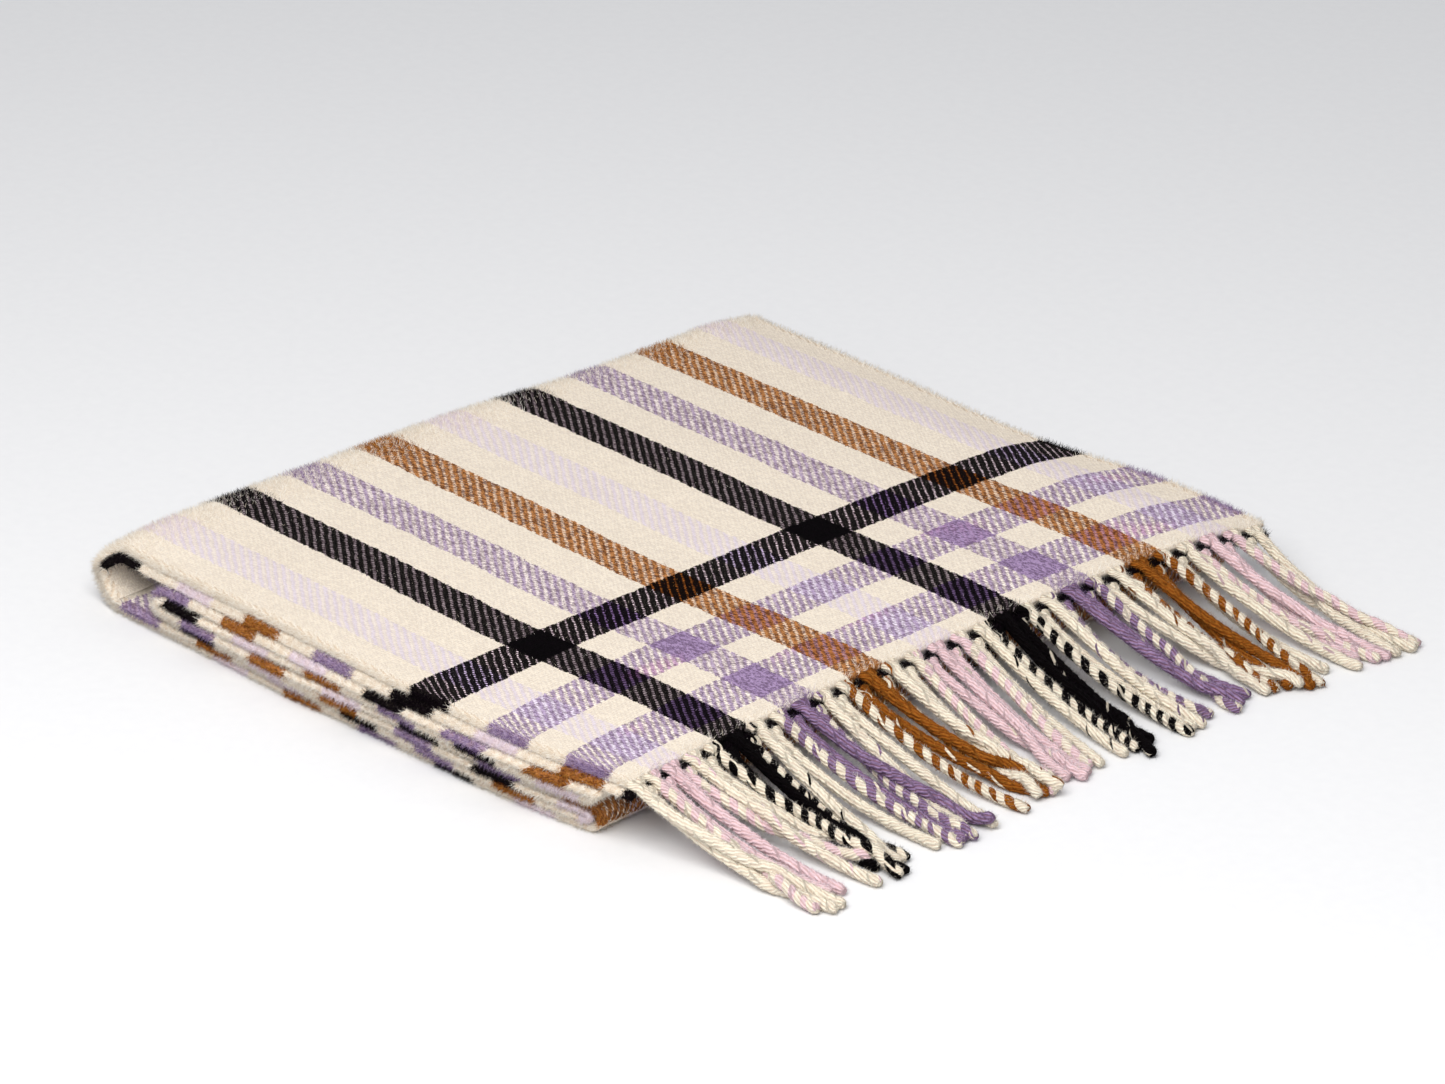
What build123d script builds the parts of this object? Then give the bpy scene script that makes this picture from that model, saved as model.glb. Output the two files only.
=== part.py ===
"""A folded striped wool blanket: one woven strip, doubled end to end and folded into eight layers.

Frame: +X along the stripes towards the fringe, +Y across the cloth, +Z up.
The origin is on the surface it lies on, under the centre of its bounding box.
"""

import os
from math import cos, radians, tan

from build123d import *

# ---------------------------------------------------------------- driving dimensions, mm
cloth_width = 300.0          # selvedge to selvedge
cloth_thickness = 2.6        # brushed and fulled wool
layer_pitch = 3.25           # from one layer to the next, with the air between them
layer_count = 8
folded_length = 243.0        # outermost left fold to the woven edge of the top layer
fringe_reach = 71.0          # woven edge to the longest rope's tip, in plan
core_setback = 22.0          # hollow between the left outer fold and the folds inside it
right_setback = 3.0          # right folds stop this far short of the top layer's woven edge
lower_edge_lead = 4.0        # the second layer's woven edge shows past the first layer's
stripe_count = 19            # equal warp stripes across the cloth
ropes_per_row = 29           # twisted fringe ropes on each woven edge
rope_diameter = 4.4
rope_root_gap = 2.6          # loose warp between a woven edge and the start of the twist
upper_root_gap = 4.6         # the same on the top layer, whose ropes clear the layer below
rope_floor_gap = 0.4         # fuzz that keeps a rope's core off the surface
rope_length_spread = 6.0     # the shortest rope ends this far before the longest
leaf_gap = 0.3               # clearance between the turning leaf and the outer fold

# ---------------------------------------------------------------- worked out from the above
stripe_width = cloth_width / stripe_count
rope_pitch = cloth_width / ropes_per_row
rope_radius = rope_diameter / 2
selvedge_radius = 0.48 * cloth_thickness
stack_height = (layer_count - 1) * layer_pitch + cloth_thickness
mid_height = stack_height / 2
x_left = -(folded_length + fringe_reach) / 2
x_edge = x_left + folded_length
x_tip = x_edge + fringe_reach
x_left_fold = x_left + mid_height
x_core_fold = x_left_fold + core_setback
x_lower_edge = x_edge + lower_edge_lead

# Warp stripes from the front selvedge to the back one; every second stripe is cream.
accent_cycle = ("pink", "black", "lilac", "tan")
stripe_colours = [
    accent_cycle[(index // 2) % len(accent_cycle)] if index % 2 else "cream"
    for index in range(stripe_count)
]


def layer_height(number):
    """Height of the middle of a layer's thickness. Layer 1 is on top."""
    return (layer_count - number) * layer_pitch + cloth_thickness / 2


def cloth_section():
    """The cloth cut across its width: flat faces and rounded selvedges."""
    return RectangleRounded(cloth_width, cloth_thickness, selvedge_radius)


def panel(number, x_start, x_end):
    """One flat layer of cloth between two places along X."""
    section = Plane.YZ.offset(x_start) * Pos(0, layer_height(number)) * cloth_section()
    return extrude(section, x_end - x_start)


def fold(upper, lower, x_centre, side):
    """Half a turn of cloth that joins two layers. Side is -1 for a left fold and 1 for a right one."""
    z_centre = (layer_height(upper) + layer_height(lower)) / 2
    radius = (layer_height(upper) - layer_height(lower)) / 2
    section = Plane.YZ * Pos(0, radius) * cloth_section()
    return Pos(x_centre, 0, z_centre) * revolve(section, Axis.Y, 180 * side)


def fold_radius(upper, lower):
    """Outer radius of the fold that joins two layers."""
    return (layer_height(upper) - layer_height(lower) + cloth_thickness) / 2


def bend_radii(points):
    """Arc radii that take up most of the two runs beside each corner of a route."""
    radii = []
    for before, corner, after in zip(points, points[1:], points[2:]):
        run_in = corner - before
        run_out = after - corner
        turn = radians(run_in.get_angle(run_out))
        radii.append(0.45 * min(run_in.length, run_out.length) / tan(turn / 2))
    return radii


def rope(x_root, layer, y, x_end):
    """A rope flush with its layer's upper face, which droops to the surface and lies along it."""
    z_root = layer_height(layer) + cloth_thickness / 2 - rope_radius
    z_floor = rope_radius + rope_floor_gap
    span = x_end - x_root
    drop = z_root - z_floor
    route = [
        Vector(x_root, y, z_root),
        Vector(x_root + 0.18 * span, y, z_root - 0.10 * drop),
        Vector(x_root + 0.40 * span, y, z_root - 0.55 * drop),
        Vector(x_root + 0.68 * span, y, z_floor + 0.06 * drop),
        Vector(x_end, y, z_floor),
    ]
    path = FilletPolyline(*route, radius=bend_radii(route))
    section = Plane(origin=path @ 0, z_dir=path % 0) * Circle(rope_radius)
    return sweep(section, path=path)


def fringe_row(x_root, layer, count, first_y):
    """One row of ropes, gathered by the stripe that each rope is twisted from."""
    rows = {}
    for index in range(count):
        y = first_y + index * rope_pitch
        stripe = min(int((y + cloth_width / 2) / stripe_width), stripe_count - 1)
        shortfall = rope_length_spread * (0.5 - 0.5 * cos(2.4 * index + layer - 1))
        rows.setdefault(stripe, []).append(rope(x_root, layer, y, x_tip - shortfall))
    return rows


def name_row(row, ropes_by_stripe):
    """Node names for a row: its place, the stripe counted from the front, and the colour."""
    return {
        f"{row}_fringe_{stripe + 1:02d}_{stripe_colours[stripe]}": Compound(children=ropes)
        if len(ropes) > 1
        else ropes[0]
        for stripe, ropes in ropes_by_stripe.items()
    }


# ---------------------------------------------------------------- the layers
x_low_fold = x_edge - right_setback - fold_radius(5, 8)
x_heart_fold = x_edge - right_setback - fold_radius(3, 4)

nodes = {
    "panel_1_top": panel(1, x_left_fold + leaf_gap, x_edge),
    "panel_2": panel(2, x_left_fold + leaf_gap, x_lower_edge),
    "panel_3": panel(3, x_core_fold, x_heart_fold),
    "panel_4": panel(4, x_core_fold, x_heart_fold),
    "panel_5": panel(5, x_core_fold, x_low_fold),
    "panel_6": panel(6, x_core_fold, x_low_fold),
    "panel_7": panel(7, x_left_fold, x_low_fold),
    "panel_8_bottom": panel(8, x_left_fold, x_low_fold),
}

# ---------------------------------------------------------------- the folds
nodes |= {
    "fold_left_outer": fold(1, 8, x_left_fold, -1),
    "fold_left_lining": fold(2, 7, x_left_fold, -1),
    "fold_core_outer": fold(3, 6, x_core_fold, -1),
    "fold_core_inner": fold(4, 5, x_core_fold, -1),
    "fold_low_outer": fold(5, 8, x_low_fold, 1),
    "fold_low_inner": fold(6, 7, x_low_fold, 1),
    "fold_heart": fold(3, 4, x_heart_fold, 1),
}

# ---------------------------------------------------------------- the fringe
front_selvedge = -cloth_width / 2
x_upper_root = x_edge + upper_root_gap
x_lower_root = x_lower_edge + rope_root_gap
upper_row = fringe_row(x_upper_root, 1, ropes_per_row, front_selvedge + rope_pitch / 2)
lower_row = fringe_row(x_lower_root, 2, ropes_per_row - 1, front_selvedge + rope_pitch)
nodes |= name_row("upper", upper_row)
nodes |= name_row("lower", lower_row)

os.makedirs("parts", exist_ok=True)
for name, shape in nodes.items():
    export_step(shape, f"parts/{name}.step")
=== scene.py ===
import math

import bpy
import numpy as np
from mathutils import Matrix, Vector


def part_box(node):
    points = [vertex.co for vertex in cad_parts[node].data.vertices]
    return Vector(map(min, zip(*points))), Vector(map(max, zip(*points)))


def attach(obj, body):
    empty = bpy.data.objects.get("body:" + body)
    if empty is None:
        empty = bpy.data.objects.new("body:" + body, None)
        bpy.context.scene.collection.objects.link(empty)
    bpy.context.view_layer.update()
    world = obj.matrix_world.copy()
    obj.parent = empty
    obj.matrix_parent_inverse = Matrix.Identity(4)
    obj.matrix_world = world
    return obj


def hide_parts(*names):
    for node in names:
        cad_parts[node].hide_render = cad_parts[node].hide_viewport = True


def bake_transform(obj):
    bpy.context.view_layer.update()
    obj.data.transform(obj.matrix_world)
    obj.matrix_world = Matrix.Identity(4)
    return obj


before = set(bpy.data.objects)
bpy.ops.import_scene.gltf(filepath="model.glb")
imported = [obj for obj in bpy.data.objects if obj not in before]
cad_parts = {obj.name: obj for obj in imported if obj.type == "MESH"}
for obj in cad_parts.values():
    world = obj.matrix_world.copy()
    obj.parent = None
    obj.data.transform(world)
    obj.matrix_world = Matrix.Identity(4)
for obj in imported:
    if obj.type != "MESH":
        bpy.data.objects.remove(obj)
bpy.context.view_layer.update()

MM = 0.001

# ------------------------------------------------------------------ places read from the frame
def layer_middle(node):
    low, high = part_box(node)
    return (low.z + high.z) / 2


LAYERS = {
    1: "panel_1_top", 2: "panel_2", 3: "panel_3", 4: "panel_4",
    5: "panel_5", 6: "panel_6", 7: "panel_7", 8: "panel_8_bottom",
}
HEIGHT = {number: layer_middle(node) for number, node in LAYERS.items()}
top_low, top_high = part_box(LAYERS[1])
FRONT, BACK = top_low.y, top_high.y
WIDTH = BACK - FRONT
THICK = top_high.z - top_low.z
STACK = top_high.z
X_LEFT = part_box("fold_left_outer")[0].x
X_LEFT_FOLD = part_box(LAYERS[8])[0].x
X_CORE_FOLD, X_HEART_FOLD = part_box(LAYERS[4])[0].x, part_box(LAYERS[4])[1].x
X_LOW_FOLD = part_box(LAYERS[6])[1].x
X_EDGE = top_high.x
X_LOWER_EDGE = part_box(LAYERS[2])[1].x
X_WOVEN_EDGE = X_EDGE + 2.5 * MM    # the brushed edges stand a little proud of the CAD layers
X_SECOND_EDGE = X_LOWER_EDGE + 1.5 * MM

# ------------------------------------------------------------------ the cloth's design
STRIPE_COUNT = 19
STRIPE = WIDTH / STRIPE_COUNT       # warp stripes, every second one cream
BAND = 18.0 * MM                    # weft bands, slightly longer than the stripes are wide
END, PICK = 0.815 * MM, 1.11 * MM   # from one warp thread to the next, and one weft thread to the next
EDGE_POINTS = 5                     # vertices round each selvedge of the cloth's cross-section
SELVEDGE = 4.5 * MM                 # where the weft turns back and hides the warp
BORDER = (                          # the bands beside the top fringe, each from here to the next
    (8.5 * MM, "lilac"), (26 * MM, "cream"), (42 * MM, "lilac"), (59 * MM, "cream"),
    (75.5 * MM, "black"), (92.5 * MM, "cream"),
)
BORDER_END = 200 * MM
PLAIN_END = 300 * MM                # cream weft from the border to here, checks after it
CHECK_START = 351 * MM              # where one tan band of the checks starts
ACCENTS = ("pink", "black", "lilac", "tan")
CHECK_ORDER = ("tan", "lilac", "black", "pink")
LAST_PICKS = 4.5 * MM               # black weft at the lower end

ROPES = 29
ROPE_PITCH = WIDTH / ROPES
ROPE_LENGTH = {"upper": 79 * MM, "lower": 76 * MM}
ROPE_REACH = 1.98 * MM              # half the thickness that a rope keeps to itself
REST_HEIGHT = 2.05 * MM             # of the middle of a rope that lies on the floor
PLY = 1.74 * MM                     # radius of one ply
PLY_ORBIT = 0.30 * MM               # from the rope's middle to the ply's
ROOT_SPREAD = 1.7 * MM              # the same at the woven edge, where the two plies lie side by side
TWIST = 7.0 * MM                    # length of one full turn of the two plies
YARN_TWIST = 9.5 * MM               # length of one full turn of a ply about itself, against the rope's
SEGMENTS = 27                       # points on a rope while the ropes settle
SETTLE_STEPS = 160
RING = 12                           # faces round each ply
STRANDS = 7                         # fine strands round each ply

WOOL = {
    "cream": (0.83, 0.745, 0.635),
    "pink": (0.72, 0.64, 0.73),
    "black": (0.001, 0.0003, 0.0008),
    "lilac": (0.31, 0.215, 0.37),
    "tan": (0.32, 0.108, 0.013),
}
# how far each wool spreads over the threads that cross it
COVER = {"cream": 0.0, "pink": 0.18, "lilac": 0.26, "tan": 0.52, "black": 0.72}
ROPE_SHADE = {
    "cream": (0.97, 0.83, 0.68),
    "pink": (0.84, 0.62, 0.66),
    "black": WOOL["black"],
    "lilac": (0.30, 0.205, 0.36),
    "tan": (0.30, 0.100, 0.012),
}
WOOL_NAMES = ("cream", "pink", "black", "lilac", "tan")
FIBRE_SHADES = {                    # a darker and a lighter fibre of each wool
    "cream": ((0.78, 0.69, 0.57), (0.95, 0.90, 0.82)),
    "pink": ((0.70, 0.58, 0.64), (0.90, 0.80, 0.84)),
    "black": ((0.002, 0.001, 0.002), (0.010, 0.006, 0.009)),
    "lilac": ((0.17, 0.100, 0.23), (0.44, 0.34, 0.50)),
    "tan": ((0.22, 0.060, 0.010), (0.50, 0.22, 0.045)),
}


def stripe_colour(v):
    """Colour of the warp at a distance from the front selvedge."""
    index = min(max(int(v / STRIPE), 0), STRIPE_COUNT - 1)
    return ACCENTS[(index // 2) % 4] if index % 2 else "cream"


def weft_colour(along):
    """Colour of the weft at a distance from the top woven edge."""
    if along > CLOTH_LENGTH - LAST_PICKS:
        return "black"
    if along > PLAIN_END:
        index = int((along - CHECK_START) / BAND % 8)
        return "cream" if index % 2 else CHECK_ORDER[index // 2]
    started = [wool for start, wool in BORDER if along >= start]
    return started[-1] if started else "cream"


# ------------------------------------------------------------------ smooth noise
def noise(points, size, seed):
    """Smooth noise from -1 to 1 at each point, with features about size across."""
    p = np.asarray(points, float) / size + seed * 17.31
    cell = np.floor(p).astype(np.int64)
    part = p - cell
    part = part * part * (3 - 2 * part)
    total = np.zeros(len(p))
    for corner in range(8):
        step = np.array([corner & 1, corner >> 1 & 1, corner >> 2 & 1])
        at = cell + step
        mixed = (at[:, 0] * 73856093) ^ (at[:, 1] * 19349663) ^ (at[:, 2] * 83492791)
        mixed = (mixed ^ (mixed >> 13)) * 1274126177
        value = (mixed >> 7 & 0xFFFF) / 32767.5 - 1
        weight = np.prod(np.where(step, part, 1 - part), axis=1)
        total += value * weight
    return total


def ease(value, low, high):
    t = np.clip((np.asarray(value, float) - low) / (high - low), 0, 1)
    return t * t * (3 - 2 * t)


# ------------------------------------------------------------------ the cloth's path through the stack
def straight(x0, x1, z, step):
    count = max(2, int(abs(x1 - x0) / step))
    return [(x, z) for x in np.linspace(x0, x1, count, endpoint=False)]


def turn(x, z0, z1, side, step):
    """Half a turn from height z0 to z1, bulging to the side that side says."""
    radius = abs(z1 - z0) / 2
    count = max(10, int(math.pi * radius / step))
    middle, start = (z0 + z1) / 2, (z0 - z1) / 2
    return [
        (x + side * radius * math.sin(a), middle + start * math.cos(a))
        for a in np.linspace(0, math.pi, count, endpoint=False)
    ]


def cloth_path():
    """Centre line of the cloth in X and Z, from the top woven edge to the lower one, and two cuts."""
    z, fine, coarse = HEIGHT, 1.5 * MM, 3.4 * MM
    points = straight(X_WOVEN_EDGE, X_LEFT_FOLD, z[1], fine)
    points += turn(X_LEFT_FOLD, z[1], z[8], -1, 1.2 * MM)
    first_cut = len(points)
    points += straight(X_LEFT_FOLD, X_LOW_FOLD, z[8], coarse)
    points += turn(X_LOW_FOLD, z[8], z[5], 1, 0.8 * MM)
    points += straight(X_LOW_FOLD, X_CORE_FOLD, z[5], coarse)
    points += turn(X_CORE_FOLD, z[5], z[4], -1, 0.8 * MM)
    points += straight(X_CORE_FOLD, X_HEART_FOLD, z[4], coarse)
    points += turn(X_HEART_FOLD, z[4], z[3], 1, 0.8 * MM)
    points += straight(X_HEART_FOLD, X_CORE_FOLD, z[3], coarse)
    points += turn(X_CORE_FOLD, z[3], z[6], -1, 0.8 * MM)
    points += straight(X_CORE_FOLD, X_LOW_FOLD, z[6], coarse)
    points += turn(X_LOW_FOLD, z[6], z[7], 1, 0.8 * MM)
    points += straight(X_LOW_FOLD, X_LEFT_FOLD, z[7], coarse)
    second_cut = len(points)
    points += turn(X_LEFT_FOLD, z[7], z[2], -1, 1.2 * MM)
    points += straight(X_LEFT_FOLD, X_SECOND_EDGE, z[2], fine * 1.4)
    points.append((X_SECOND_EDGE, z[2]))
    return np.array(points), first_cut, second_cut


PATH, CUT_1, CUT_2 = cloth_path()
ALONG = np.concatenate([[0], np.cumsum(np.linalg.norm(np.diff(PATH, axis=0), axis=1))])
CLOTH_LENGTH = ALONG[-1]
TANGENT = np.gradient(PATH, ALONG, axis=0)
TANGENT /= np.linalg.norm(TANGENT, axis=1)[:, None]
NORMAL = np.stack([TANGENT[:, 1], -TANGENT[:, 0]], axis=1)


def settle(points):
    """Moves points of the neat stack to where the soft cloth lies, by one smooth field."""
    p = np.array(points, float)
    x, y, z = p[:, 0].copy(), p[:, 1].copy(), p[:, 2].copy()
    share = z / STACK
    front_gap, back_gap = y - FRONT, BACK - y
    near_front = 1 - ease(front_gap, -4 * MM, 30 * MM)
    near_back = 1 - ease(back_gap, -4 * MM, 30 * MM)
    droop = 0.045 * ease(x, X_EDGE - 35 * MM, X_EDGE + 10 * MM)
    left_part = 1 - ease(x, X_LEFT + 20 * MM, X_LEFT + 110 * MM)
    slump = 0.09 * near_front * left_part + 0.12 * near_back
    slump += 0.03 * np.exp(-np.maximum(front_gap, 0) / (5 * MM))
    flat = np.stack([x, y, np.zeros(len(x))], axis=1)
    billow = 0.035 * noise(flat, 62 * MM, 1) + 0.012 * noise(flat, 21 * MM, 2)
    p[:, 2] = z * (1 - droop - slump + billow * ease(z, 0, STACK))
    rows = np.stack([x * 0.35, y * 0.15, z * 4.0], axis=1)
    below_top = 1 - ease(z, STACK - 4 * MM, STACK)
    p[:, 2] += 0.70 * MM * noise(rows, 24 * MM, 3) * ease(z, 2 * MM, 8 * MM) * below_top
    # the pile isn't square: its front edge bows out low down and is drawn in at the fringe end
    upper_places = [-0.150, -0.10, -0.05, 0.02, 0.06, 0.09]
    upper = np.interp(x, upper_places, [0.0, 0.0, 0.0, 0.5, 1.5, 5.0])
    lower_places = [-0.155, -0.14, -0.11, -0.06, -0.015, 0.03, 0.06, 0.085]
    lower = np.interp(x, lower_places, [1, -1, 0, 1.5, 5, 7, 9.5, 13])
    nearby = np.exp(-np.maximum(front_gap, 0) / (48 * MM))
    p[:, 1] += (lower + (upper - lower) * ease(share, 0.15, 0.95)) * MM * nearby
    p[:, 1] += 4.5 * MM * ease(x, -20 * MM, X_EDGE + 25 * MM) * share
    p[:, 1] += 6.0 * MM * np.exp(-np.maximum(front_gap, 0) / (8 * MM)) * ease(share, 0.6, 1.0)
    back_left = 1 - ease(x, -10 * MM, 50 * MM)
    p[:, 1] -= 5.0 * MM * np.exp(-np.maximum(back_gap, 0) / (14 * MM)) * back_left * share
    edge_wave = np.stack([x, 0 * y, 0 * z], axis=1)
    p[:, 1] += 1.1 * MM * noise(edge_wave, 47 * MM, 4) * near_front
    # the top layers' weft is bowed, so the middle of their end stays behind its corners
    right_part = ease(x, -60 * MM, X_EDGE - 30 * MM)
    p[:, 0] += 4.0 * MM * (y / (110 * MM)) ** 2 * ease(z, 14 * MM, 21 * MM) * right_part
    p[:, 0] -= 4.5 * MM * (1 - ease(x, X_LEFT, X_LEFT + 45 * MM)) * (1 - ease(y, -5 * MM, 60 * MM))
    fold_wave = np.stack([0 * x, y, z], axis=1)
    p[:, 0] += 1.2 * MM * noise(fold_wave, 55 * MM, 5) * (1 - ease(x, X_LEFT, X_LEFT + 40 * MM))
    p[:, 0] += 1.3 * MM * noise(fold_wave, 44 * MM, 6) * ease(x, X_EDGE - 40 * MM, X_EDGE)
    return p


def sideways(along):
    """How far each place along the cloth is shifted across it, because the folding isn't exact."""
    line = np.stack([along, 0 * along, 0 * along], axis=1)
    before_end = 1 - ease(along, CLOTH_LENGTH - 300 * MM, CLOTH_LENGTH - 120 * MM)
    inner = ease(along, 150 * MM, 330 * MM) * before_end
    return (3.2 * MM * noise(line, 170 * MM, 8) + 2.2 * MM * noise(line, 70 * MM, 9)) * inner


# ------------------------------------------------------------------ mesh helpers
def make_mesh(name, verts, faces, attributes):
    """A smooth mesh object from arrays: faces is a list of arrays, each with one row for each face."""
    mesh = bpy.data.meshes.new(name)
    mesh.vertices.add(len(verts))
    mesh.vertices.foreach_set("co", np.asarray(verts, np.float32).ravel())
    corners = np.concatenate([f.ravel() for f in faces]).astype(np.int32)
    sizes = np.concatenate([np.full(len(f), f.shape[1]) for f in faces]).astype(np.int32)
    mesh.loops.add(len(corners))
    mesh.loops.foreach_set("vertex_index", corners)
    mesh.polygons.add(len(sizes))
    mesh.polygons.foreach_set("loop_start", np.concatenate([[0], np.cumsum(sizes)[:-1]]).astype(np.int32))
    mesh.polygons.foreach_set("use_smooth", np.full(len(sizes), True))
    for label, values in attributes.items():
        layer = mesh.attributes.new(label, "FLOAT_VECTOR", "POINT")
        layer.data.foreach_set("vector", np.asarray(values, np.float32).ravel())
    mesh.update(calc_edges=True)
    mesh.validate()
    piece = bpy.data.objects.new(name, mesh)
    bpy.context.scene.collection.objects.link(piece)
    return piece


def ring_faces(rings, size, first=0):
    """Quads between successive rings of vertices."""
    a = first + np.arange(rings - 1)[:, None] * size + np.arange(size)[None, :]
    b = first + np.arange(rings - 1)[:, None] * size + (np.arange(size)[None, :] + 1) % size
    return np.stack([a, b, b + size, a + size], axis=-1).reshape(-1, 4)


def section(across):
    """The cloth cut across, a closed loop: distance from the front selvedge, offset from the middle."""
    r = THICK / 2
    side = np.linspace(r, WIDTH - r, across)
    bend = np.linspace(math.pi / 2, -math.pi / 2, EDGE_POINTS + 2)[1:-1]
    v = np.concatenate([side, WIDTH - r + r * np.cos(bend), side[::-1], r - r * np.cos(bend)])
    flat_side = np.full(across, r)
    offset = np.concatenate([flat_side, r * np.sin(bend), -flat_side, -r * np.sin(bend)])
    return v, offset


def cloth_arrays(start, stop, across):
    """Vertices, quads and weave coordinates of the cloth between two places on its path."""
    v, offset = section(across)
    rows = np.arange(start, stop + 1)
    along = ALONG[rows]
    bulge = 1 + 0.04 * (np.exp(-v / (5 * MM)) + np.exp(-(WIDTH - v) / (5 * MM)))
    edge_fade = np.minimum(1, 0.72 + 0.28 * ease(np.minimum(along, CLOTH_LENGTH - along), 0, 2 * MM))
    out = offset[None, :] * bulge[None, :] * edge_fade[:, None]
    x = PATH[rows, 0][:, None] + NORMAL[rows, 0][:, None] * out
    z = PATH[rows, 1][:, None] + NORMAL[rows, 1][:, None] * out
    y = FRONT + v[None, :] + sideways(along)[:, None]
    verts = np.stack([x, y + 0 * x, z], axis=-1).reshape(-1, 3)
    weave = np.stack(
        [along[:, None] + 0 * x, v[None, :] + 0 * x, offset[None, :] + 0 * x], axis=-1
    ).reshape(-1, 3)
    verts = settle(verts)
    verts[:, 2] = np.maximum(verts[:, 2], 0.05 * MM)
    quads = ring_faces(len(rows), len(v))
    return verts, quads, weave, len(v)


def end_cap(ring, across, flip):
    """Quads that close the cloth's end, from the row of vertices round it."""
    top = ring[:across]
    bottom = ring[across + EDGE_POINTS : 2 * across + EDGE_POINTS][::-1]
    kept = [np.stack([top[:-1], top[1:], bottom[1:], bottom[:-1]], axis=1)]
    right = ring[across - 1 : across + EDGE_POINTS + 1]
    left = np.concatenate([ring[2 * across + EDGE_POINTS - 1 :], ring[:1]])
    for group in (right, left):
        outer_quad = [group[0], group[1], group[5], group[6]]
        inner_quad = [group[1], group[2], group[4], group[5]]
        kept.append(np.array([outer_quad, inner_quad]))
    triangles = np.array([[group[2], group[3], group[4]] for group in (right, left)])
    if flip:
        kept = [f[:, ::-1] for f in kept]
        triangles = triangles[:, ::-1]
    return kept, triangles


def cloth_piece(name, start, stop, across):
    verts, quads, weave, size = cloth_arrays(start, stop, across)
    first = np.arange(size)
    last = len(verts) - size + first
    caps, corners = [], []
    for ring, flip in ((first, True), (last, False)):
        kept, triangles = end_cap(ring, across, flip)
        caps += kept
        corners.append(triangles)
    piece = make_mesh(name, verts, [quads] + caps + corners, {"weave": weave})
    return piece, (verts, quads, weave)


# ------------------------------------------------------------------ wool fibres that stand off the surface
def fibres(name, arrays, density, wools, count, length, lean, seed, width=0.095 * MM):
    """Thin three-sided cones rooted on a mesh. density says how thickly they stand, wools of what."""
    verts, quads, weave = arrays
    rng = np.random.default_rng(seed)
    a, b, c, d = (verts[quads[:, k]] for k in range(4))
    normal = np.cross(c - a, d - b)
    area = np.linalg.norm(normal, axis=1)
    normal /= np.maximum(area, 1e-12)[:, None]
    chance = area * density((a + b + c + d) / 4, weave[quads].mean(axis=1))
    chosen = rng.choice(len(quads), count, p=chance / chance.sum())
    u, w = rng.random((2, count, 1))

    def at(values):
        p, q, r, s = (values[quads[chosen, k]] for k in range(4))
        return (p * (1 - u) + q * u) * (1 - w) + (s * (1 - u) + r * u) * w

    root, root_weave, out = at(verts), at(weave), normal[chosen]
    flat = rng.normal(size=(count, 3))
    flat -= (flat * out).sum(1)[:, None] * out
    flat /= np.linalg.norm(flat, axis=1)[:, None]
    go = out + flat * lean * rng.uniform(0.3, 1.4, (count, 1))
    go /= np.linalg.norm(go, axis=1)[:, None]
    tip = root + go * length * rng.uniform(0.4, 1.3, (count, 1))
    side = np.cross(go, flat)
    thick = width * rng.uniform(0.7, 1.3, (count, 1))
    sunk = root - out * 0.15 * MM
    corners = (0, math.tau / 3, 2 * math.tau / 3)
    ring = [sunk + (flat * math.cos(t) + side * math.sin(t)) * thick for t in corners]
    points = np.stack([*ring, tip], axis=1).reshape(-1, 3)
    points[:, 2] = np.maximum(points[:, 2], 0.02 * MM)
    start = np.arange(count) * 4
    sides = np.concatenate([start[:, None] + np.array([k, (k + 1) % 3, 3]) for k in range(3)])
    piece = make_mesh(name, points, [sides], {})
    slots = 2 * wools(root_weave, chosen, rng) + rng.integers(0, 2, count)
    piece.data.polygons.foreach_set("material_index", np.tile(slots, 3))
    for material in FIBRE_MATERIALS:
        piece.data.materials.append(material)
    return piece


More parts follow.
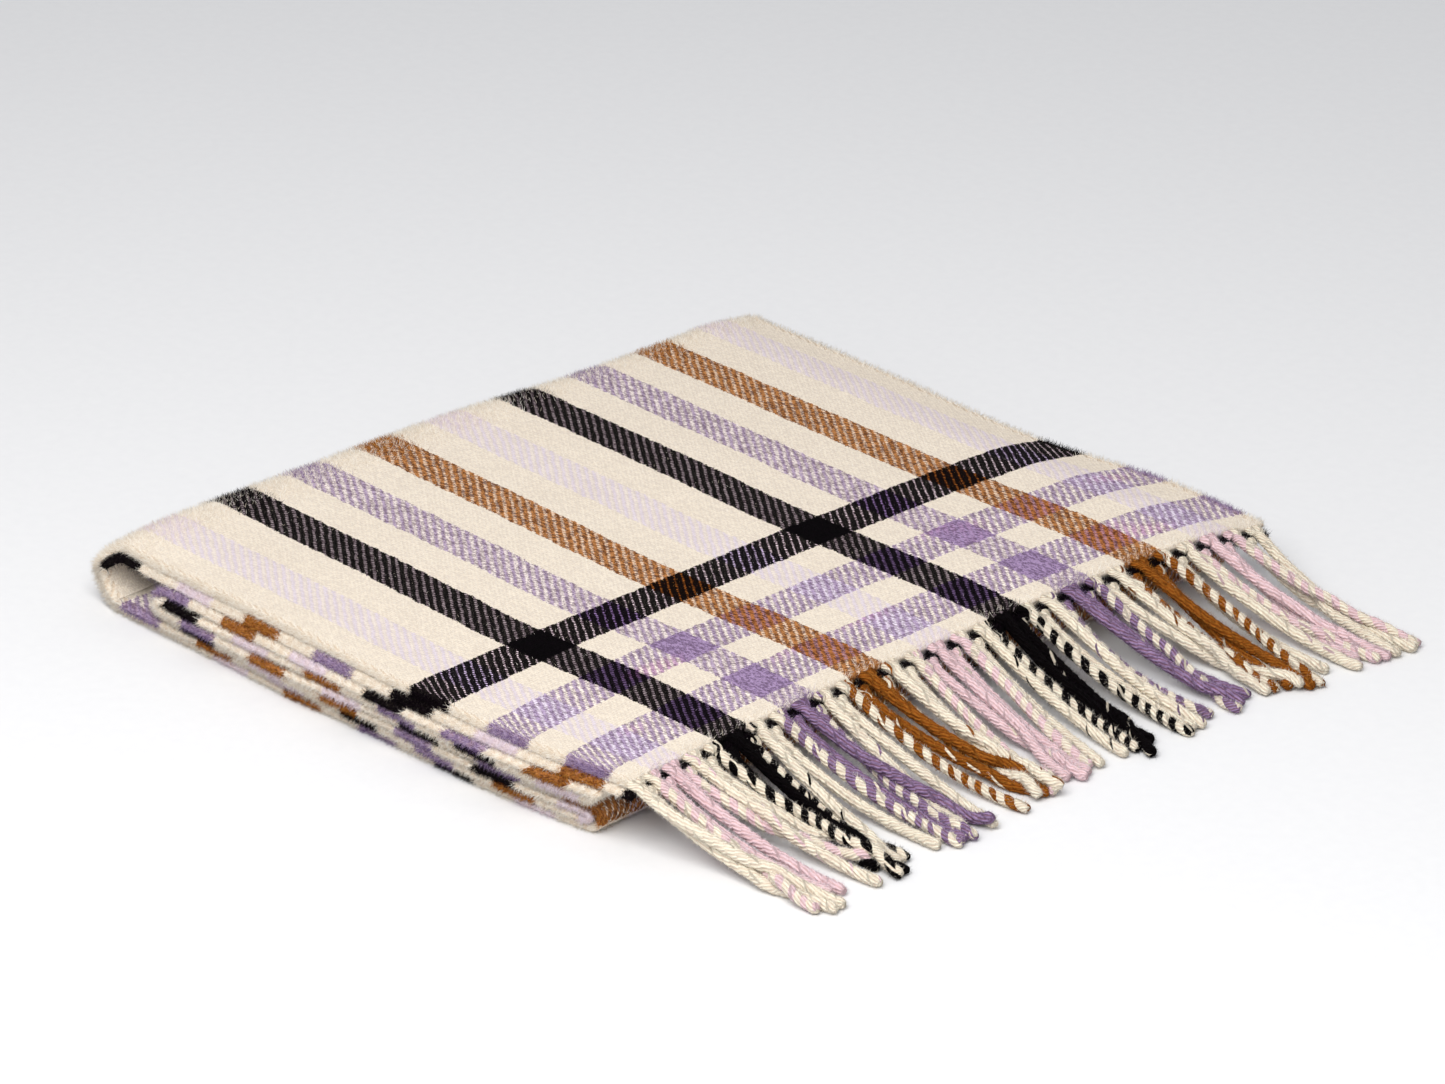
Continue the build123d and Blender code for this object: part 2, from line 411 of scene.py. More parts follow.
# ------------------------------------------------------------------ materials
class Nodes:
    """Short calls for building a material's node tree."""

    def __init__(self, name):
        self.material = bpy.data.materials.new(name)
        self.material.use_nodes = True
        self.tree = self.material.node_tree
        self.shader = self.tree.nodes["Principled BSDF"]

    def add(self, kind, **settings):
        node = self.tree.nodes.new(kind)
        for key, value in settings.items():
            setattr(node, key, value)
        return node

    def join(self, source, target):
        self.tree.links.new(source, target)

    def put(self, socket, value):
        if isinstance(value, bpy.types.NodeSocket):
            self.join(value, socket)
        else:
            socket.default_value = value

    def maths(self, operation, *values, clamp=False):
        node = self.add("ShaderNodeMath", operation=operation, use_clamp=clamp)
        for socket, value in zip(node.inputs, values):
            self.put(socket, value)
        return node.outputs[0]

    def mix(self, factor, a, b, blend="MIX"):
        node = self.add("ShaderNodeMix", data_type="RGBA", blend_type=blend)
        self.put(node.inputs[0], factor)
        for socket, value in ((node.inputs[6], a), (node.inputs[7], b)):
            self.put(socket, (*value, 1) if isinstance(value, tuple) and len(value) == 3 else value)
        return node.outputs[2]

    def combine(self, x, y, z):
        node = self.add("ShaderNodeCombineXYZ")
        for socket, value in zip(node.inputs, (x, y, z)):
            self.put(socket, value)
        return node.outputs[0]

    def noise(self, vector, scale, detail=2.0, roughness=0.5, colour=False):
        node = self.add("ShaderNodeTexNoise")
        self.join(vector, node.inputs["Vector"])
        node.inputs["Scale"].default_value = scale
        node.inputs["Detail"].default_value = detail
        node.inputs["Roughness"].default_value = roughness
        return node.outputs["Color" if colour else "Fac"]

    def bands(self, factor, stops):
        """Hard-edged bands of wool, each stop a start from 0 to 1 and a wool: their colour and cover."""
        node = self.add("ShaderNodeValToRGB")
        ramp = node.color_ramp
        ramp.interpolation = "CONSTANT"
        while len(ramp.elements) > 1:
            ramp.elements.remove(ramp.elements[-1])
        ramp.elements[0].position = 0
        ramp.elements[0].color = (*WOOL[stops[0][1]], COVER[stops[0][1]])
        for start, wool in stops[1:]:
            ramp.elements.new(start).color = (*WOOL[wool], COVER[wool])
        self.join(factor, node.inputs[0])
        return node.outputs[0], node.outputs[1]

    def smooth(self, value, low, high):
        node = self.add("ShaderNodeMapRange", interpolation_type="SMOOTHSTEP")
        self.put(node.inputs["Value"], value)
        node.inputs["From Min"].default_value = low
        node.inputs["From Max"].default_value = high
        return node.outputs[0]

    def attribute(self, name):
        node = self.add("ShaderNodeAttribute", attribute_name=name, attribute_type="GEOMETRY")
        return node.outputs["Vector"]

    def split(self, vector):
        node = self.add("ShaderNodeSeparateXYZ")
        self.join(vector, node.inputs[0])
        return node.outputs

    def tint(self, factor, colour, by):
        """The colour multiplied by another, as far as factor says."""
        return self.mix(factor, colour, self.mix(1.0, colour, by, "MULTIPLY"))

    def bump(self, height, strength, distance):
        node = self.add("ShaderNodeBump")
        node.inputs["Strength"].default_value = strength
        node.inputs["Distance"].default_value = distance
        self.join(height, node.inputs["Height"])
        self.join(node.outputs[0], self.shader.inputs["Normal"])

    def wool_finish(self):
        """Dull, soft and slightly hazy, the same all over."""
        self.shader.inputs["Roughness"].default_value = 0.92
        self.shader.inputs["Specular IOR Level"].default_value = 0.02
        self.shader.inputs["Sheen Weight"].default_value = 0.005
        self.shader.inputs["Sheen Roughness"].default_value = 0.5


def weave_colour(n):
    """Colour and relief of the striped twill from the cloth's own coordinates, in metres."""
    weave = n.attribute("weave")
    wander = n.noise(weave, 260, detail=1.0, colour=True)
    fray = n.noise(weave, 1500, detail=1.0, colour=True)
    drift, jitter = n.split(wander), n.split(fray)
    place = n.split(weave)

    def moved(axis):
        shifted = n.maths("MULTIPLY_ADD", n.maths("SUBTRACT", drift[axis], 0.5), 1.6 * MM, place[axis])
        return n.maths("MULTIPLY_ADD", n.maths("SUBTRACT", jitter[axis], 0.5), 1.9 * MM, shifted)

    along, across = moved(0), moved(1)

    def nearly(axis, size):
        """The thread's own place, only slightly uneven."""
        return n.maths("MULTIPLY_ADD", n.maths("SUBTRACT", drift[axis], 0.5), size, place[axis])

    repeat = n.maths("FRACT", n.maths("DIVIDE", n.maths("MAXIMUM", across, 0.0), 8 * STRIPE))
    stops = [(k / 8, "cream" if k % 2 == 0 else ACCENTS[k // 2]) for k in range(8)]
    warp, warp_cover = n.bands(repeat, stops)

    check = n.maths("FRACT", n.maths("DIVIDE", n.maths("SUBTRACT", along, CHECK_START), 8 * BAND))
    stops = [(k / 8, "cream" if k % 2 else CHECK_ORDER[k // 2]) for k in range(8)]
    checks, checks_cover = n.bands(check, stops)
    stops = [(0.0, "cream")] + [(start / BORDER_END, wool) for start, wool in BORDER]
    border, border_cover = n.bands(n.maths("DIVIDE", along, BORDER_END, clamp=True), stops)
    # the lilac weft has rosier stretches
    reach = n.combine(n.maths("MULTIPLY", place[0], 2.2), place[1], 0.0)
    rosy = n.smooth(n.noise(reach, 22, detail=1.0), 0.55, 0.72)
    rosy = n.maths("MULTIPLY", rosy, n.maths("COMPARE", border_cover, COVER["lilac"], 0.02))
    border = n.mix(n.maths("MULTIPLY", rosy, 0.45), border, (0.56, 0.22, 0.42))
    is_check = n.maths("GREATER_THAN", along, PLAIN_END)
    weft = n.mix(is_check, border, checks)
    last_picks = n.maths("GREATER_THAN", along, CLOTH_LENGTH - LAST_PICKS)
    weft = n.mix(last_picks, weft, WOOL["black"])
    weft_cover = n.maths("MAXIMUM", border_cover, n.maths("MULTIPLY", is_check, checks_cover))
    weft_cover = n.maths("MAXIMUM", weft_cover, n.maths("MULTIPLY", last_picks, COVER["black"]))

    # a 2/2 twill: each thread passes over two and under two, one step on from its neighbour
    ends = n.maths("DIVIDE", nearly(1, 0.9 * MM), END)
    picks = n.maths("DIVIDE", nearly(0, 1.2 * MM), PICK)
    end_index, pick_index = n.maths("FLOOR", ends), n.maths("FLOOR", picks)
    warp_run = n.maths("FLOORED_MODULO", n.maths("SUBTRACT", picks, end_index), 4.0)
    weft_run = n.maths("FLOORED_MODULO", n.maths("SUBTRACT", ends, pick_index), 4.0)

    def crown(run, middle, place_in_thread, wide):
        """Height of a float: 1 along its middle, 0 at its ends and sides."""
        length = n.maths("SUBTRACT", run, middle)
        side = n.maths("MULTIPLY", n.maths("SUBTRACT", place_in_thread, 0.5), wide)
        far = n.maths("ADD", n.maths("MULTIPLY", length, length), n.maths("MULTIPLY", side, side))
        return n.maths("SUBTRACT", 1.0, far)

    ragged = n.maths("MULTIPLY", n.maths("SUBTRACT", jitter[2], 0.5), 0.9)
    warp_float = crown(warp_run, 1.0, n.maths("FRACT", ends), 1.75)
    weft_float = crown(weft_run, 2.0, n.maths("FRACT", picks), 1.75)
    is_warp = n.maths("LESS_THAN", warp_run, 2.0)
    selvedge_distance = n.maths("MINIMUM", place[1], n.maths("SUBTRACT", WIDTH, place[1]))
    inside = n.smooth(selvedge_distance, 0.4 * SELVEDGE, 1.1 * SELVEDGE)
    inside = n.maths("MULTIPLY", inside, n.maths("SUBTRACT", 1.0, last_picks))
    is_warp = n.maths("MULTIPLY", is_warp, n.maths("GREATER_THAN", inside, 0.5))
    darkest = n.mix(1.0, weft, warp, "DARKEN")
    average = n.mix(0.5, weft, warp)
    dyed = n.maths("MAXIMUM", warp_cover, weft_cover)
    between = n.mix(n.smooth(dyed, 0.15, 0.6), average, darkest)
    weft_seen = n.mix(n.maths("MULTIPLY", inside, warp_cover), weft, darkest)
    warp_edge = n.maths("ADD", n.maths("MULTIPLY", weft_cover, 0.92), ragged)
    warp_shown = n.smooth(n.maths("SUBTRACT", warp_float, warp_edge), -0.05, 0.30)
    weft_edge = n.maths("MULTIPLY_ADD", warp_cover, -0.75, n.maths("MULTIPLY_ADD", weft_cover, 0.45, ragged))
    weft_shown = n.smooth(n.maths("ADD", weft_float, weft_edge), -0.35, 0.20)
    weft_shown = n.maths("MAXIMUM", weft_shown, n.maths("SUBTRACT", 1.0, inside))
    warp_side = n.mix(warp_shown, between, warp)
    weft_side = n.mix(weft_shown, between, weft_seen)
    colour = n.mix(is_warp, weft_side, warp_side)
    felted = n.maths("MULTIPLY_ADD", dyed, -0.62, 0.42, clamp=True)
    colour = n.mix(felted, colour, average)
    plum = n.smooth(dyed, 0.60, 0.70)   # the black wool is slightly plum
    colour = n.tint(plum, colour, (1.0, 0.86, 1.10))
    top_float = n.mix(is_warp, weft_float, warp_float)

    # heathered yarns: the dyed ones hold lighter and darker fibres, and a haze of them covers the threads
    grain = n.combine(n.maths("MULTIPLY", place[0], 0.6), place[1], place[2])
    heather = n.noise(grain, 1050, detail=3.0, roughness=0.8)
    fleck = n.maths("MULTIPLY_ADD", n.smooth(dyed, 0.2, 0.3), 0.85, 0.12)
    shade = n.smooth(heather, 0.40, 0.60)
    dim = n.mix(1.0, colour, (0.30, 0.25, 0.30), "MULTIPLY")
    lit = n.mix(1.0, colour, (1.60, 1.68, 1.66), "MULTIPLY")
    colour = n.mix(n.maths("MULTIPLY", fleck, 0.95), colour, n.mix(shade, dim, lit))
    haze = n.smooth(n.noise(weave, 3200, detail=1.0), 0.52, 0.80)
    colour = n.mix(n.maths("MULTIPLY", haze, 0.25), colour, average)
    cloudy = n.smooth(n.noise(weave, 45, detail=2.0), 0.3, 0.7)
    colour = n.tint(n.maths("MULTIPLY", cloudy, 0.10), colour, (0.86, 0.82, 0.78))
    return colour, top_float, heather, weave


def woven_material():
    """The cloth's wool: the twill, with painted shade between its threads, under a fine nap."""
    n = Nodes("brushed_wool_twill")
    colour, floats, heather, weave = weave_colour(n)
    # painted shade: where the floats dip between the threads, the colour is darkened and warmed
    painted_groove_shade = n.smooth(floats, 0.5, -0.6)
    colour = n.tint(n.maths("MULTIPLY", painted_groove_shade, 0.50), colour, (0.72, 0.58, 0.44))
    n.join(colour, n.shader.inputs["Base Color"])
    nap = n.noise(weave, 2600, detail=3.0, roughness=0.8)
    relief = n.maths("MULTIPLY_ADD", floats, 0.35, n.maths("MULTIPLY", heather, 0.4))
    height = n.maths("MULTIPLY_ADD", nap, 0.9, relief)
    n.bump(height, 0.65, 0.45 * MM)
    n.wool_finish()
    return n.material


def fibre_material(name, colour):
    """One fine fibre's wool: too thin for any detail but its colour."""
    n = Nodes(name)
    n.shader.inputs["Base Color"].default_value = (*colour, 1)
    n.wool_finish()
    return n.material


def rope_material(name, shade):
    """A single-colour ply: slanting strands of lighter and darker fibres, with grooves between them darkened
    by painted shade.
    """
    n = Nodes("rope_wool_" + name)
    yarn = n.attribute("yarn")
    place = n.split(yarn)
    skewed = n.maths("MULTIPLY_ADD", place[0], 0.9, place[1])
    lie = n.combine(n.maths("MULTIPLY", place[0], 0.28), skewed, place[2])
    strands = n.noise(lie, 1700, detail=3.0, roughness=0.75)
    tone = n.smooth(strands, 0.28, 0.72)
    is_pale = min(shade) > 0.4
    depth = 0.76 if is_pale else 0.45
    dark = tuple(c * depth for c in shade)
    light = tuple(min(1.0, c * (1.75 - 0.75 * depth) + 0.004) for c in shade)
    colour = n.mix(tone, dark, light)
    colour = n.tint(n.smooth(n.noise(yarn, 260, detail=2.0), 0.35, 0.7), colour, (0.92, 0.90, 0.90))
    # painted shade in the grooves between the strands, deeper on the dark wools
    strand_place = n.maths("DIVIDE", skewed, PLY * math.tau / STRANDS)
    ridge = n.maths("SINE", n.maths("MULTIPLY", strand_place, math.tau))
    painted_groove_shade = n.maths("MULTIPLY", n.smooth(ridge, 0.1, -0.9), 0.5 if is_pale else 1.0)
    colour = n.tint(painted_groove_shade, colour, (0.66, 0.51, 0.44))
    height = n.maths("MULTIPLY_ADD", ridge, 0.9, n.maths("ADD", strands, n.noise(yarn, 3600, detail=2.0)))
    n.join(colour, n.shader.inputs["Base Color"])
    n.bump(height, 0.7, 0.32 * MM)
    n.wool_finish()
    return n.material


# ------------------------------------------------------------------ the fringe
def rope_plan():
    """Root, length, heading and curl of every rope, both rows, sorted from the front to the back."""
    rng = np.random.default_rng(41)
    plan = []
    for row, count, offset in (("upper", ROPES, 0.5), ("lower", ROPES - 1, 1.0)):
        layer = 1 if row == "upper" else 2
        x = X_WOVEN_EDGE if row == "upper" else X_SECOND_EDGE
        for index in range(count):
            v = (index + offset) * ROPE_PITCH
            share = v / WIDTH
            plan.append({
                "row": row,
                "v": v,
                "root": (x - 0.5 * MM, FRONT + v, HEIGHT[layer]),
                "length": ROPE_LENGTH[row] + rng.uniform(-8.0, 2.0) * MM,
                "heading": math.radians(9 - 8 * share + rng.normal() * 4.5),
                "curl": math.radians(rng.normal() * 10 - 1),
                "sag": rng.uniform(1.15, 1.8) + 0.35 * (row == "lower"),
                "turn": rng.uniform(0, math.tau),
                "loose": rng.uniform(0, 1),
            })
    return sorted(plan, key=lambda rope: rope["v"])


def hang(plan):
    """Where the ropes lie: each keeps its bend and length, off the floor and off its neighbours."""
    count = len(plan)
    roots = settle(np.array([rope["root"] for rope in plan]))
    step = np.array([rope["length"] for rope in plan])[:, None] / (SEGMENTS - 1)
    share = np.broadcast_to(np.linspace(0, 1, SEGMENTS)[None, :], (count, SEGMENTS))
    heading = np.array([rope["heading"] for rope in plan])[:, None]
    curl = np.array([rope["curl"] for rope in plan])[:, None]
    sag = np.array([rope["sag"] for rope in plan])[:, None]
    clump = noise(np.array([[rope["v"], 0, 0] for rope in plan]), 26 * MM, 21)[:, None]
    way = (heading + math.radians(11) * clump) * ease(share, 0, 0.2) + curl * share ** 1.5
    drop = roots[:, 2:3] - REST_HEIGHT
    level = REST_HEIGHT + drop * (1 - share * 1.04).clip(0, 1) ** sag
    points = np.zeros((count, SEGMENTS, 3))
    points[:, 0] = roots
    for k in range(1, SEGMENTS):
        fall = level[:, k] - level[:, k - 1]
        flat = np.sqrt(np.maximum(step[:, 0] ** 2 - fall ** 2, 1e-12))
        move = np.stack([np.cos(way[:, k]) * flat, np.sin(way[:, k]) * flat, fall], axis=1)
        points[:, k] = points[:, k - 1] + move
    wanted = points.copy()
    pinned = points[:, :2].copy()
    for _ in range(SETTLE_STEPS):
        points += (wanted - points) * 0.04
        # neighbours push each other away, close to the roots only a little
        for other in (1, 2, 3, 4):
            a, b = points[:-other], points[other:]
            gap = b[:, None, :, :] - a[:, :, None, :]
            size = np.linalg.norm(gap, axis=3)
            near = np.maximum(2 * ROPE_REACH - size, 0)
            near[:, :3, :] *= 0.1
            near[:, :, :3] *= 0.1
            push = gap / np.maximum(size, 1e-6)[..., None] * (near * 0.16)[..., None]
            points[:-other] -= push.sum(axis=2)
            points[other:] += push.sum(axis=1)
        # each keeps its length, and over two and four steps it resists crumpling
        for reach in (1, 2, 4):
            gap = points[:, reach:] - points[:, :-reach]
            size = np.linalg.norm(gap, axis=2, keepdims=True)
            rest = step[:, :, None] * reach
            short = rest - size if reach == 1 else np.maximum(rest * 0.99 - size, 0)
            shift = gap / size * short * 0.5
            points[:, reach:] += shift
            points[:, :-reach] -= shift
        points[:, :, 2] = np.maximum(points[:, :, 2], REST_HEIGHT)
        points[:, :2] = pinned
    return points


def resample(line, spacing):
    """A smooth curve through the chain's points, with even steps."""
    for _ in range(3):
        middle = line.copy()
        middle[1:-1] = 0.25 * line[:-2] + 0.5 * line[1:-1] + 0.25 * line[2:]
        line = np.empty((2 * len(middle) - 1, 3))
        line[::2] = middle
        line[1::2] = (middle[:-1] + middle[1:]) / 2
    along = np.concatenate([[0], np.cumsum(np.linalg.norm(np.diff(line, axis=0), axis=1))])
    at = np.linspace(0, along[-1], int(along[-1] / spacing) + 1)
    return np.stack([np.interp(at, along, line[:, k]) for k in range(3)], axis=1), at


def ply_arrays(line, at, rope, side):
    """One ply of a rope: a slightly lobed tube wound round the rope's centre line."""
    ahead = np.gradient(line, at, axis=0)
    ahead /= np.linalg.norm(ahead, axis=1)[:, None]
    up = np.cross(ahead, np.array([0.0, 1.0, 0.0]))
    up = -up / np.linalg.norm(up, axis=1)[:, None]
    up *= np.sign(up[:, 2:3] + 1e-9)
    across = np.cross(up, ahead)
    uneven = 1 + 0.05 * np.sin(at / (9 * MM) + rope["turn"])
    angle = rope["turn"] + math.pi * side + math.tau * at / TWIST * uneven
    grip = ease(at, 0, 6 * MM)[:, None]
    out = up * np.sin(angle)[:, None] + across * np.cos(angle)[:, None]
    root = across * (1 if side else -1) * ROOT_SPREAD / PLY_ORBIT
    lumps = 1 + 0.025 * np.sin(at / (2.3 * MM) + 5 * rope["turn"] + side)
    centre = line + (out * grip + root * (1 - grip)) * PLY_ORBIT
    run = np.gradient(centre, at, axis=0)
    run /= np.linalg.norm(run, axis=1)[:, None]
    first = out * grip + up * (1 - grip)
    first -= (first * run).sum(1)[:, None] * run
    first /= np.linalg.norm(first, axis=1)[:, None]
    second = np.cross(run, first)
    around = np.arange(RING) * math.tau / RING
    spin = -math.tau * at / YARN_TWIST * ease(at, 0, 12 * MM)
    lobe = 1 + 0.02 * np.cos(3 * around - math.pi)
    tip = 1 - 0.35 * ease(at, at[-1] - 1.4 * MM, at[-1])
    radius = PLY * lumps * tip * (1 - 0.10 * rope["loose"])
    wide = 1 + 0.15 * (1 - grip[:, 0])
    low = 1 - 0.28 * (1 - grip[:, 0])
    turn_angle = around[None, :] + spin[:, None]
    offset = (
        first[:, None, :] * (np.cos(turn_angle) * low[:, None])[..., None]
        + second[:, None, :] * (np.sin(turn_angle) * wide[:, None])[..., None]
    )
    verts = centre[:, None, :] + offset * (radius[:, None] * lobe[None, :])[..., None]
    size = PLY * math.tau / RING
    yarn = np.stack(np.broadcast_arrays(
        at[:, None] + 0.0 * around[None, :],
        around[None, :] / (math.tau / RING) * size + 0.0 * at[:, None],
        (rope["v"] + 0.4 * side * MM) * 7 + 0.0 * at[:, None] * around[None, :],
    ), axis=-1)
    return verts.reshape(-1, 3), yarn.reshape(-1, 3), len(at)


def ply_colours(v0):
    """Colour of each face round a ply: a stripe's edge inside the ply shows as one thin sliver."""
    near, middle, far = (stripe_colour(v0 + part * ROPE_PITCH / 2) for part in (0.1, 0.5, 0.9))
    return [near] + (RING - 2) * [middle] + [far]


def rope_arrays(line, at, rope):
    """Both plies with their faces' colours: each ply has the colour of the warp that it came from."""
    verts, yarns, quads, colours, caps = [], [], [], [], []
    first = 0
    for side in (0, 1):
        points, yarn, rings = ply_arrays(line, at, rope, side)
        faces = ring_faces(rings, RING, first)
        names = ply_colours(rope["v"] + (side - 1) * ROPE_PITCH / 2)
        tail = first + len(points)
        centres = np.stack([points[:RING].mean(0), points[-RING:].mean(0)])
        verts += [points, centres]
        yarns += [yarn, yarn[[0, -1]]]
        quads.append(faces)
        colours += names * (rings - 1)
        ring = np.arange(RING)
        nxt = (ring + 1) % RING
        start_cap = np.stack([first + nxt, first + ring, np.full(RING, tail)], axis=1)
        end_ring = tail - RING
        end_cap_faces = np.stack([end_ring + ring, end_ring + nxt, np.full(RING, tail + 1)], axis=1)
        caps += [start_cap, end_cap_faces]
        first = tail + 2
    cap_names = []
    for side in (0, 1):
        cap_names += 2 * ply_colours(rope["v"] + (side - 1) * ROPE_PITCH / 2)
    arrays = [np.concatenate(x) for x in (verts, yarns, quads, caps)]
    return *arrays, colours, cap_names


def fringe_piece(name, ropes):
    """One mesh of the ropes that stand for one CAD node, and the arrays that its fibres grow from."""
    verts, yarns, quads, caps, tones, cap_tones = [], [], [], [], [], []
    first = 0
    for line, at, rope in ropes:
        points, yarn, faces, ends, colours, cap_names = rope_arrays(line, at, rope)
        verts.append(points)
        yarns.append(yarn)
        quads.append(faces + first)
        caps.append(ends + first)
        tones += colours
        cap_tones += cap_names
        first += len(points)
    verts, yarns, quads, caps = (np.concatenate(x) for x in (verts, yarns, quads, caps))
    piece = make_mesh(name, verts, [quads, caps], {"yarn": yarns})
    index = [WOOL_NAMES.index(tone) for tone in tones + cap_tones]
    piece.data.polygons.foreach_set("material_index", index)
    for colour in WOOL_NAMES:
        piece.data.materials.append(ROPE_MATERIALS[colour])
    return piece, (verts, quads, yarns), np.array([WOOL_NAMES.index(t) for t in tones])


# ------------------------------------------------------------------ build the cloth
WOVEN = woven_material()
FIBRE_MATERIALS = [
    fibre_material(f"{name}_fibre_{tone}", colour)
    for name in WOOL_NAMES for tone, colour in zip(("dark", "light"), FIBRE_SHADES[name])
]
ROPE_MATERIALS = {name: rope_material(name, ROPE_SHADE[name]) for name in WOOL_NAMES}
NAP_SHARE = 1.0   # of the full number of fibres


def across_count(spacing):
    return int(WIDTH / spacing)


top, top_arrays = cloth_piece("top_layer_and_outer_fold", 0, CUT_1, across_count(1.7 * MM))
stack, stack_arrays = cloth_piece("folded_inner_layers", CUT_1, CUT_2, across_count(3.0 * MM))
lining, lining_arrays = cloth_piece("second_layer_and_fold", CUT_2, len(PATH) - 1, across_count(2.6 * MM))
for piece in (top, stack, lining):
    piece.data.materials.append(WOVEN)

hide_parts(LAYERS[1], "fold_left_outer")
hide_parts(LAYERS[2], "fold_left_lining")
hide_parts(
    *[LAYERS[k] for k in range(3, 9)],
    "fold_core_outer", "fold_core_inner", "fold_low_outer", "fold_low_inner", "fold_heart",
)


# ------------------------------------------------------------------ the nap
def cloth_wools(weave, chosen, rng):
    """Wool of each fibre on the cloth: from its warp or its weft, and only from the weft in the selvedges."""
    along = weave[:, 0] + rng.normal(0, 0.8 * MM, len(weave))
    across = weave[:, 1] + rng.normal(0, 0.8 * MM, len(weave))
    luck = rng.random(len(weave))
    wools = []
    for s, v, part in zip(along, across, luck):
        weft, warp = weft_colour(s), stripe_colour(v)
        in_selvedge = min(v, WIDTH - v) < 0.75 * SELVEDGE or s > CLOTH_LENGTH - LAST_PICKS
        from_warp = part < 0.5 + 0.5 * (COVER[warp] - COVER[weft]) and not in_selvedge
        wools.append(WOOL_NAMES.index(warp if from_warp else weft))
    return np.array(wools)


def on_front(place, weave):
    return np.exp(-weave[:, 1] / (1.5 * MM))


def on_back(place, weave):
    return np.exp(-(WIDTH - weave[:, 1]) / (1.5 * MM))


def on_top(place, weave):
    return (weave[:, 2] > 0) * 1.0


def on_left_fold(place, weave):
    return ease(-place[:, 0], -X_LEFT - 26 * MM, -X_LEFT - 4 * MM) * (weave[:, 2] > 0)


def on_woven_end(place, weave):
    return np.exp(-weave[:, 0] / (1.5 * MM))


def on_second_end(place, weave):
    return np.exp(-(CLOTH_LENGTH - weave[:, 0]) / (1.5 * MM))


def on_low_folds(place, weave):
    return ease(place[:, 0], X_LOW_FOLD, X_LOW_FOLD + 4 * MM)


ROPE_FUZZ = 3200                    # fibres on each rope
NAPS = (                            # where, how many, how long, how far they lean, and their group: only base ones are attached to the base
    ("top_nap", top_arrays, on_top, 18000, 1.1 * MM, 1.8, "leaf"),
    ("left_fold_nap", top_arrays, on_left_fold, 50000, 2.0 * MM, 1.0, "leaf"),
    ("woven_end_nap", top_arrays, on_woven_end, 8000, 1.9 * MM, 0.9, "leaf"),
    ("top_front_nap", top_arrays, on_front, 13000, 2.1 * MM, 0.8, "leaf"),
    ("top_back_nap", top_arrays, on_back, 10000, 2.1 * MM, 0.8, "leaf"),
    ("second_front_nap", lining_arrays, on_front, 11000, 2.1 * MM, 0.8, "leaf"),
    ("second_back_nap", lining_arrays, on_back, 8000, 2.1 * MM, 0.8, "leaf"),
    ("second_end_nap", lining_arrays, on_second_end, 9000, 2.2 * MM, 0.8, "leaf"),
    ("inner_front_nap", stack_arrays, on_front, 42000, 2.1 * MM, 0.8, "base"),
    ("inner_back_nap", stack_arrays, on_back, 34000, 2.1 * MM, 0.8, "base"),
    ("low_fold_nap", stack_arrays, on_low_folds, 14000, 1.8 * MM, 1.0, "base"),
)
turned, still = [top, lining], [stack]
for seed, (label, arrays, density, count, length, lean, body) in enumerate(NAPS):
    nap = fibres(label, arrays, density, cloth_wools, int(count * NAP_SHARE), length, lean, 11 + seed)
    (turned if body == "leaf" else still).append(nap)

# the outer pair and its nap only have their placement baked into their meshes; the rest of the cloth is
# attached to the base.
for piece in turned:
    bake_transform(piece)
for piece in still:
    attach(piece, "base")

# ------------------------------------------------------------------ build the fringe
plan = rope_plan()
lines = hang(plan)
groups = {}
for rope, line in zip(plan, lines):
    stripe = min(int(rope["v"] / STRIPE), STRIPE_COUNT - 1)
    fine, at = resample(line, 0.75 * MM)
    groups.setdefault((rope["row"], stripe), []).append((fine, at, rope))

fringe = {"upper": [], "lower": []}
for (row, stripe), ropes in sorted(groups.items()):
    colour = stripe_colour((stripe + 0.5) * STRIPE)
    label = f"{row}_ropes_{stripe + 1:02d}"
    piece, arrays, tones = fringe_piece(label, ropes)
    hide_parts(f"{row}_fringe_{stripe + 1:02d}_{colour}")
    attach(piece, row + "_fringe")
    fringe[row].append(piece)

    hair = fibres(
        f"{row}_rope_fuzz_{stripe + 1:02d}", arrays, lambda place, weave: np.ones(len(place)),
        lambda weave, chosen, rng: tones[chosen], int(ROPE_FUZZ * len(ropes) * NAP_SHARE),
        1.5 * MM, 1.2, 100 + stripe, width=0.065 * MM,
    )
    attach(hair, row + "_fringe")
    fringe[row].append(hair)


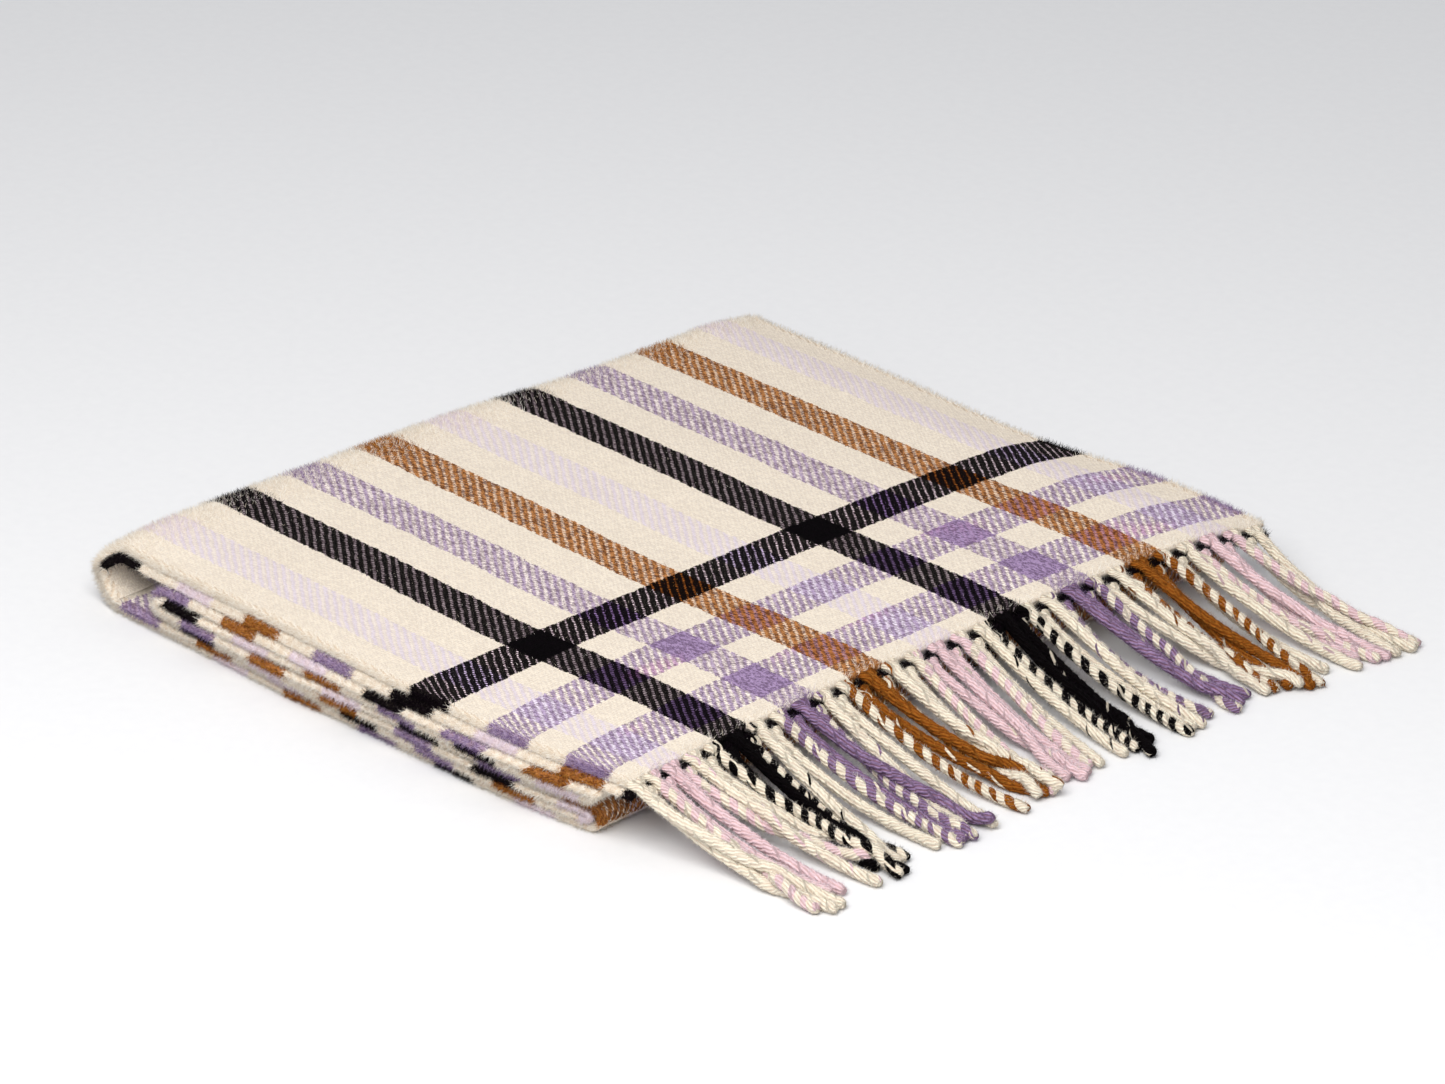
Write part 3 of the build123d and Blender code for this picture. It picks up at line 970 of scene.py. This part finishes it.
# ------------------------------------------------------------------ floor, light and camera
def floor_material():
    """A plain pale grey, very faintly mottled."""
    n = Nodes("pale_floor")
    coordinates = n.add("ShaderNodeTexCoord").outputs["Object"]
    grain = n.noise(coordinates, 220, detail=3.0)
    n.join(n.mix(grain, (0.78, 0.785, 0.80), (0.82, 0.825, 0.835)), n.shader.inputs["Base Color"])
    n.shader.inputs["Roughness"].default_value = 0.75
    n.shader.inputs["Specular IOR Level"].default_value = 0.2
    return n.material


bpy.ops.mesh.primitive_plane_add(size=14, location=(0, 0, 0))
floor = bpy.context.object
floor.name = "floor"
floor.data.materials.append(floor_material())


def soft_light(name, place, aim, size, watts, colour):
    """A round area light at a place, turned towards a point."""
    data = bpy.data.lights.new(name, "AREA")
    data.shape = "DISK"
    data.size = size
    data.energy = watts
    data.color = colour
    lamp = bpy.data.objects.new(name, data)
    bpy.context.scene.collection.objects.link(lamp)
    lamp.location = place
    lamp.rotation_euler = (Vector(aim) - Vector(place)).to_track_quat("-Z", "Y").to_euler()


soft_light(
    "key_light", place=(0.50, -0.80, 1.22), aim=(0.02, -0.12, 0),
    size=1.3, watts=24.8, colour=(1.0, 0.985, 0.965),
)

world = bpy.data.worlds.new("studio")
bpy.context.scene.world = world
world.use_nodes = True
background = world.node_tree.nodes["Background"]
background.inputs["Color"].default_value = (0.96, 0.97, 1.0, 1)
background.inputs["Strength"].default_value = 0.48
bpy.context.scene.view_settings.view_transform = "Standard"

# a long lens, from the fringe's front corner, looking down at the pile
BEARING = math.radians(47.2)
DIP = math.radians(25.4)
DISTANCE = 2.02
aim = Vector((-0.011, 0.002, STACK))
forward = Vector((
    -math.sin(BEARING) * math.cos(DIP),
    math.cos(BEARING) * math.cos(DIP),
    -math.sin(DIP),
))
camera_data = bpy.data.cameras.new("camera")
camera_data.sensor_width = 36
camera_data.lens = 149.5
camera = bpy.data.objects.new("camera", camera_data)
bpy.context.scene.collection.objects.link(camera)
camera.location = aim - forward * DISTANCE
camera.rotation_euler = forward.to_track_quat("-Z", "Y").to_euler()
bpy.context.scene.camera = camera
